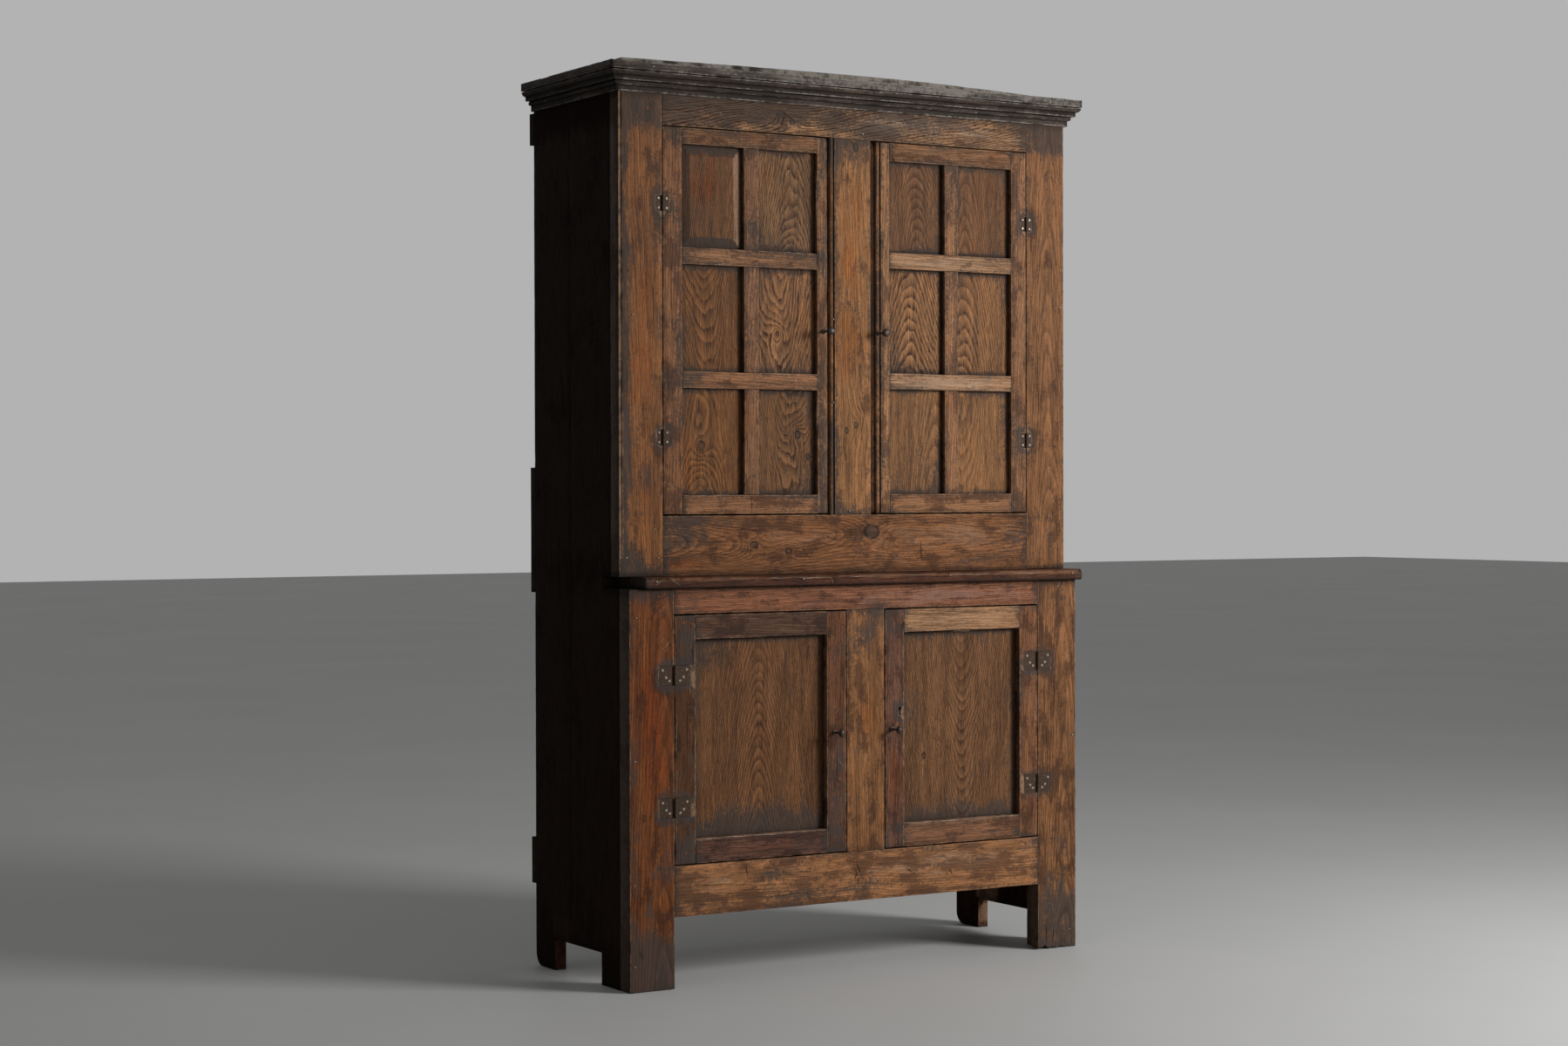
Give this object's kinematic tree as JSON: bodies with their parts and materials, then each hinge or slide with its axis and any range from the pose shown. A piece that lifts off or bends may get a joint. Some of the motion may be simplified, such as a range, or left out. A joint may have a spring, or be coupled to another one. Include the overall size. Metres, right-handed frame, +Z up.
{
  "type": "two-stage cupboard",
  "caption": "Tall country cupboard in two stages, with panelled doors above and below a waist ledge, turning iron knobs, flush iron hinges and a moulded cornice.",
  "frame": {"origin": "on the floor, at the middle of the overall width and depth", "axes": "+X to the right seen from the front, +Y to the back, +Z up"},
  "size_m": [1.342, 0.539, 2.149],
  "materials": {
    "case_wood": "old worn wax",
    "frame_wood": "old worn wax",
    "door_wood": "old worn wax",
    "panel_wood": "old worn wax",
    "cornice_wood": "dry and greyed",
    "inner_wood": "unfinished",
    "hinge_iron": "browned",
    "knob_iron": "browned",
    "lock_iron": "dull"
  },
  "bodies": {
    "case": {"side_left_front_board": "case_wood", "side_left_rear_board": "case_wood", "side_right_front_board": "case_wood", "side_right_rear_board": "case_wood", "upper_stile_left": "frame_wood", "upper_stile_right": "frame_wood", "upper_head_rail": "frame_wood", "upper_sill_rail": "frame_wood", "upper_centre_post": "frame_wood", "lower_stile_left": "frame_wood", "lower_stile_right": "frame_wood", "lower_head_rail": "frame_wood", "lower_bottom_rail": "frame_wood", "lower_centre_post": "frame_wood", "waist_ledge": "frame_wood", "cornice_front": "cornice_wood", "cornice_left": "cornice_wood", "cornice_right": "cornice_wood", "top_boards": "cornice_wood", "back_boards": "inner_wood", "back_battens": "inner_wood", "upper_shelves": "inner_wood", "lower_shelf": "inner_wood", "waist_boards": "inner_wood", "floor_boards": "inner_wood", "shelf_cleats": "inner_wood", "door_stops": "inner_wood", "upper_hinge_frame_leaves": "hinge_iron", "lower_hinge_frame_leaves": "hinge_iron"},
    "upper_left_door": {"upper_left_hinge_stile": "door_wood", "upper_left_closing_stile": "door_wood", "upper_left_rails": "door_wood", "upper_left_hinge_leaves": "hinge_iron", "upper_left_muntins": "door_wood", "upper_left_panels": "panel_wood", "upper_left_raised_panel": "panel_wood"},
    "upper_right_door": {"upper_right_hinge_stile": "door_wood", "upper_right_closing_stile": "door_wood", "upper_right_rails": "door_wood", "upper_right_hinge_leaves": "hinge_iron", "upper_right_muntins": "door_wood", "upper_right_panels": "panel_wood"},
    "lower_left_door": {"lower_left_hinge_stile": "door_wood", "lower_left_closing_stile": "door_wood", "lower_left_rails": "door_wood", "lower_left_hinge_leaves": "hinge_iron", "lower_left_panel": "panel_wood"},
    "lower_right_door": {"lower_right_hinge_stile": "door_wood", "lower_right_closing_stile": "door_wood", "lower_right_rails": "door_wood", "lower_right_hinge_leaves": "hinge_iron", "lower_right_panel": "panel_wood", "lock_case": "lock_iron"},
    "upper_left_turning_latch": {"upper_left_latch": "knob_iron"},
    "upper_right_turning_latch": {"upper_right_latch": "knob_iron"},
    "lower_left_turning_latch": {"lower_left_latch": "knob_iron"},
    "lower_right_turning_latch": {"lower_right_latch": "knob_iron"},
    "bolt": {"lock_bolt": "lock_iron"}
  },
  "joints": [
    {"name": "upper_left_door_hinge", "type": "hinge", "parent": "case", "child": "upper_left_door", "pos_m": [-0.52025, -0.184, 1.272], "axis": [0, 0, -1], "range_deg": [0, 165]},
    {"name": "upper_right_door_hinge", "type": "hinge", "parent": "case", "child": "upper_right_door", "pos_m": [0.52025, -0.184, 1.272], "axis": [0, 0, 1], "range_deg": [0, 165]},
    {"name": "lower_left_door_hinge", "type": "hinge", "parent": "case", "child": "lower_left_door", "pos_m": [-0.51825, -0.2323, 0.418], "axis": [0, 0, -1], "range_deg": [0, 165]},
    {"name": "lower_right_door_hinge", "type": "hinge", "parent": "case", "child": "lower_right_door", "pos_m": [0.51825, -0.2323, 0.418], "axis": [0, 0, 1], "range_deg": [0, 165]},
    {"name": "upper_left_latch_turn", "type": "hinge", "parent": "upper_left_door", "child": "upper_left_turning_latch", "pos_m": [-0.0815, -0.1825, 1.528], "axis": [0, -1, 0], "range_deg": [0, 90]},
    {"name": "upper_right_latch_turn", "type": "hinge", "parent": "upper_right_door", "child": "upper_right_turning_latch", "pos_m": [0.076, -0.1825, 1.528], "axis": [0, 1, 0], "range_deg": [0, 90]},
    {"name": "lower_left_latch_turn", "type": "hinge", "parent": "lower_left_door", "child": "lower_left_turning_latch", "pos_m": [-0.083, -0.2305, 0.572], "axis": [0, -1, 0], "range_deg": [0, 90]},
    {"name": "lower_right_latch_turn", "type": "hinge", "parent": "lower_right_door", "child": "lower_right_turning_latch", "pos_m": [0.081, -0.2305, 0.572], "axis": [0, 1, 0], "range_deg": [0, 90]},
    {"name": "bolt_slide", "type": "slide", "parent": "lower_right_door", "child": "bolt", "axis": [-1, 0, 0], "range_m": [0, 0.013]}
  ]
}
